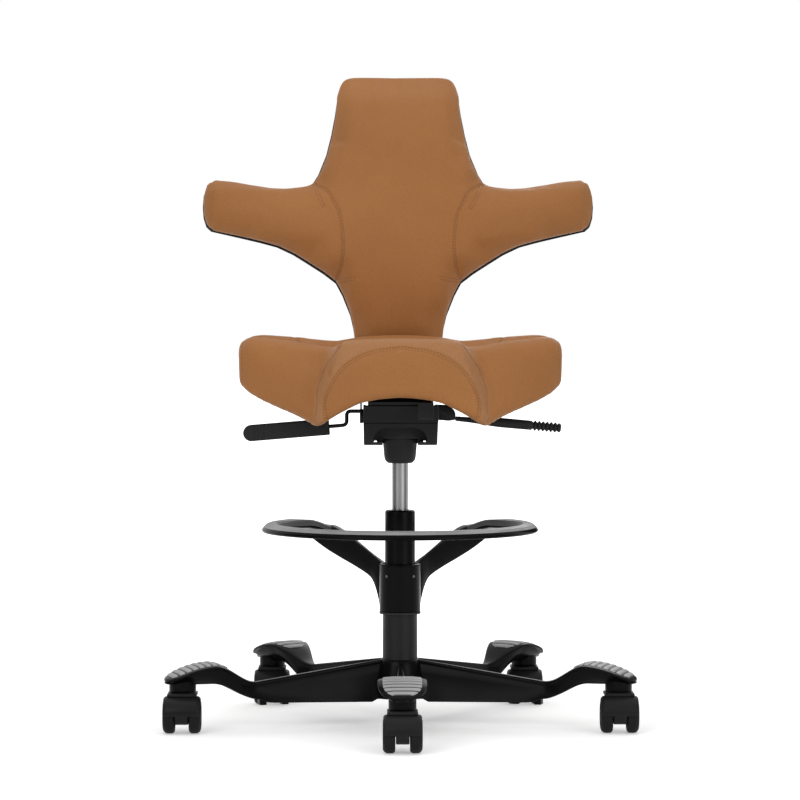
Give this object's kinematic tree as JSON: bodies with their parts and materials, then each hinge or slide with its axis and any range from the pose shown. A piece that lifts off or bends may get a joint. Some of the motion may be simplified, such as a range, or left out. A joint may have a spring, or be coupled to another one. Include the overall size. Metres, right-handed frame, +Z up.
{
  "type": "saddle chair",
  "caption": "Height-adjustable saddle chair with a winged cross-shaped backrest, a foot ring and a castor star base with step pads.",
  "frame": {"origin": "on the floor under the column's axis", "axes": "+Z up, -Y towards the front of the seat, +X to the left of someone sitting in it"},
  "size_m": [0.6732, 0.741, 0.9504],
  "materials": {
    "tan_leather": "smooth grained",
    "gloss_black": "gloss",
    "matte_black": "matte",
    "castor_tyre": "matte",
    "black_steel": "satin",
    "step_rubber": "matte ribbed",
    "ring_rubber": "matte ribbed",
    "bright_steel": "satin"
  },
  "bodies": {
    "base": {"star_base": "gloss_black", "step_pad_1": "step_rubber", "step_pad_2": "step_rubber", "step_pad_3": "step_rubber", "step_pad_4": "step_rubber", "step_pad_5": "step_rubber", "column_tube": "black_steel", "guide_sleeve": "gloss_black", "column_clip": "bright_steel", "thrust_bearing": "bright_steel"},
    "footring_collar": {"footring_bush": "matte_black"},
    "footring": {"footring_frame": "gloss_black", "footring_tread": "ring_rubber", "footring_screw_left": "bright_steel", "footring_screw_right": "bright_steel"},
    "gas_rod": {"piston_rod": "bright_steel"},
    "lift": {"gas_cylinder": "bright_steel", "taper_boot": "matte_black", "tilt_housing": "matte_black", "tilt_axle": "bright_steel", "tilt_spring": "bright_steel"},
    "valve": {"release_button": "bright_steel"},
    "lever": {"height_lever": "matte_black", "height_paddle": "matte_black"},
    "handle": {"tension_handle": "matte_black"},
    "tilt": {"seat_carrier": "black_steel", "back_bar": "black_steel"},
    "depth_release": {"depth_lever": "matte_black"},
    "seat": {"seat_shell": "matte_black", "seat_cushion": "tan_leather"},
    "back": {"back_slider": "matte_black", "back_shell": "matte_black", "back_cushion": "tan_leather"},
    "knob": {"back_knob": "matte_black"},
    "castor_1": {"castor_1_hood": "matte_black", "castor_1_stem": "bright_steel", "castor_1_axle": "bright_steel"},
    "castor_1_left": {"castor_1_wheel_left": "castor_tyre"},
    "castor_1_right": {"castor_1_wheel_right": "castor_tyre"},
    "castor_2": {"castor_2_hood": "matte_black", "castor_2_stem": "bright_steel", "castor_2_axle": "bright_steel"},
    "castor_2_left": {"castor_2_wheel_left": "castor_tyre"},
    "castor_2_right": {"castor_2_wheel_right": "castor_tyre"},
    "castor_3": {"castor_3_hood": "matte_black", "castor_3_stem": "bright_steel", "castor_3_axle": "bright_steel"},
    "castor_3_left": {"castor_3_wheel_left": "castor_tyre"},
    "castor_3_right": {"castor_3_wheel_right": "castor_tyre"},
    "castor_4": {"castor_4_hood": "matte_black", "castor_4_stem": "bright_steel", "castor_4_axle": "bright_steel"},
    "castor_4_left": {"castor_4_wheel_left": "castor_tyre"},
    "castor_4_right": {"castor_4_wheel_right": "castor_tyre"},
    "castor_5": {"castor_5_hood": "matte_black", "castor_5_stem": "bright_steel", "castor_5_axle": "bright_steel"},
    "castor_5_left": {"castor_5_wheel_left": "castor_tyre"},
    "castor_5_right": {"castor_5_wheel_right": "castor_tyre"}
  },
  "joints": [
    {"name": "footring_height", "type": "slide", "parent": "base", "child": "footring_collar", "axis": [0, 0, 1], "range_m": [-0.05, 0]},
    {"name": "footring_turn", "type": "hinge", "parent": "footring_collar", "child": "footring", "pos_m": [0, 0, 0.19], "axis": [0, 0, 1], "continuous": true},
    {"name": "seat_swivel", "type": "hinge", "parent": "base", "child": "gas_rod", "pos_m": [0, 0, 0], "axis": [0, 0, 1], "continuous": true},
    {"name": "seat_height", "type": "slide", "parent": "gas_rod", "child": "lift", "axis": [0, 0, 1], "range_m": [-0.06, 0.14]},
    {"name": "valve_press", "type": "slide", "parent": "lift", "child": "valve", "axis": [0, 0, 1], "range_m": [-0.0045, 0.001]},
    {"name": "height_lever_lift", "type": "hinge", "parent": "lift", "child": "lever", "pos_m": [-0.0532, 0, 0.4519], "axis": [0, 1, 0], "range_deg": [0, 6], "stiffness_Nm_per_rad": 6, "springref_deg": -5.73},
    {"name": "tension_turn", "type": "hinge", "parent": "lift", "child": "handle", "pos_m": [0.0794, 0, 0.442], "axis": [0.996, 0, -0.0889], "continuous": true},
    {"name": "seat_tilt", "type": "hinge", "parent": "lift", "child": "tilt", "pos_m": [0, -0.03, 0.448], "axis": [-1, 0, 0], "range_deg": [-3, 8], "deforming": ["tilt_spring"]},
    {"name": "depth_release_pull", "type": "hinge", "parent": "tilt", "child": "depth_release", "pos_m": [0.037, -0.1026, 0.468], "axis": [1, 0, 0], "range_deg": [-25, 0], "stiffness_Nm_per_rad": 0.5, "springref_deg": 5.73},
    {"name": "seat_depth", "type": "slide", "parent": "tilt", "child": "seat", "axis": [0, 1, 0], "range_m": [-0.03, 0.01]},
    {"name": "back_height", "type": "slide", "parent": "tilt", "child": "back", "axis": [0, 0, 1], "range_m": [-0.03, 0.06]},
    {"name": "knob_turn", "type": "hinge", "parent": "back", "child": "knob", "pos_m": [0, 0.33, 0.65], "axis": [0, 1, 0], "continuous": true},
    {"name": "castor_1_swivel", "type": "hinge", "parent": "base", "child": "castor_1", "pos_m": [0, -0.3255, 0.06], "axis": [0, 0, 1], "continuous": true},
    {"name": "castor_1_roll_left", "type": "hinge", "parent": "castor_1", "child": "castor_1_left", "pos_m": [0, -0.3455, 0.025], "axis": [1, 0, 0], "continuous": true},
    {"name": "castor_1_roll_right", "type": "hinge", "parent": "castor_1", "child": "castor_1_right", "pos_m": [0, -0.3455, 0.025], "axis": [1, 0, 0], "continuous": true},
    {"name": "castor_2_swivel", "type": "hinge", "parent": "base", "child": "castor_2", "pos_m": [0.30957, -0.10058, 0.06], "axis": [0, 0, 1], "continuous": true},
    {"name": "castor_2_roll_left", "type": "hinge", "parent": "castor_2", "child": "castor_2_left", "pos_m": [0.30957, -0.12058, 0.025], "axis": [1, 0, 0], "continuous": true},
    {"name": "castor_2_roll_right", "type": "hinge", "parent": "castor_2", "child": "castor_2_right", "pos_m": [0.30957, -0.12058, 0.025], "axis": [1, 0, 0], "continuous": true},
    {"name": "castor_3_swivel", "type": "hinge", "parent": "base", "child": "castor_3", "pos_m": [0.19132, 0.26333, 0.06], "axis": [0, 0, 1], "continuous": true},
    {"name": "castor_3_roll_left", "type": "hinge", "parent": "castor_3", "child": "castor_3_left", "pos_m": [0.19132, 0.24333, 0.025], "axis": [1, 0, 0], "continuous": true},
    {"name": "castor_3_roll_right", "type": "hinge", "parent": "castor_3", "child": "castor_3_right", "pos_m": [0.19132, 0.24333, 0.025], "axis": [1, 0, 0], "continuous": true},
    {"name": "castor_4_swivel", "type": "hinge", "parent": "base", "child": "castor_4", "pos_m": [-0.19132, 0.26333, 0.06], "axis": [0, 0, 1], "continuous": true},
    {"name": "castor_4_roll_left", "type": "hinge", "parent": "castor_4", "child": "castor_4_left", "pos_m": [-0.19132, 0.24333, 0.025], "axis": [1, 0, 0], "continuous": true},
    {"name": "castor_4_roll_right", "type": "hinge", "parent": "castor_4", "child": "castor_4_right", "pos_m": [-0.19132, 0.24333, 0.025], "axis": [1, 0, 0], "continuous": true},
    {"name": "castor_5_swivel", "type": "hinge", "parent": "base", "child": "castor_5", "pos_m": [-0.30957, -0.10058, 0.06], "axis": [0, 0, 1], "continuous": true},
    {"name": "castor_5_roll_left", "type": "hinge", "parent": "castor_5", "child": "castor_5_left", "pos_m": [-0.30957, -0.12058, 0.025], "axis": [1, 0, 0], "continuous": true},
    {"name": "castor_5_roll_right", "type": "hinge", "parent": "castor_5", "child": "castor_5_right", "pos_m": [-0.30957, -0.12058, 0.025], "axis": [1, 0, 0], "continuous": true}
  ],
  "couplings": [
    {"joint": "valve_press", "follows": "height_lever_lift", "m_per_rad": -0.03}
  ]
}
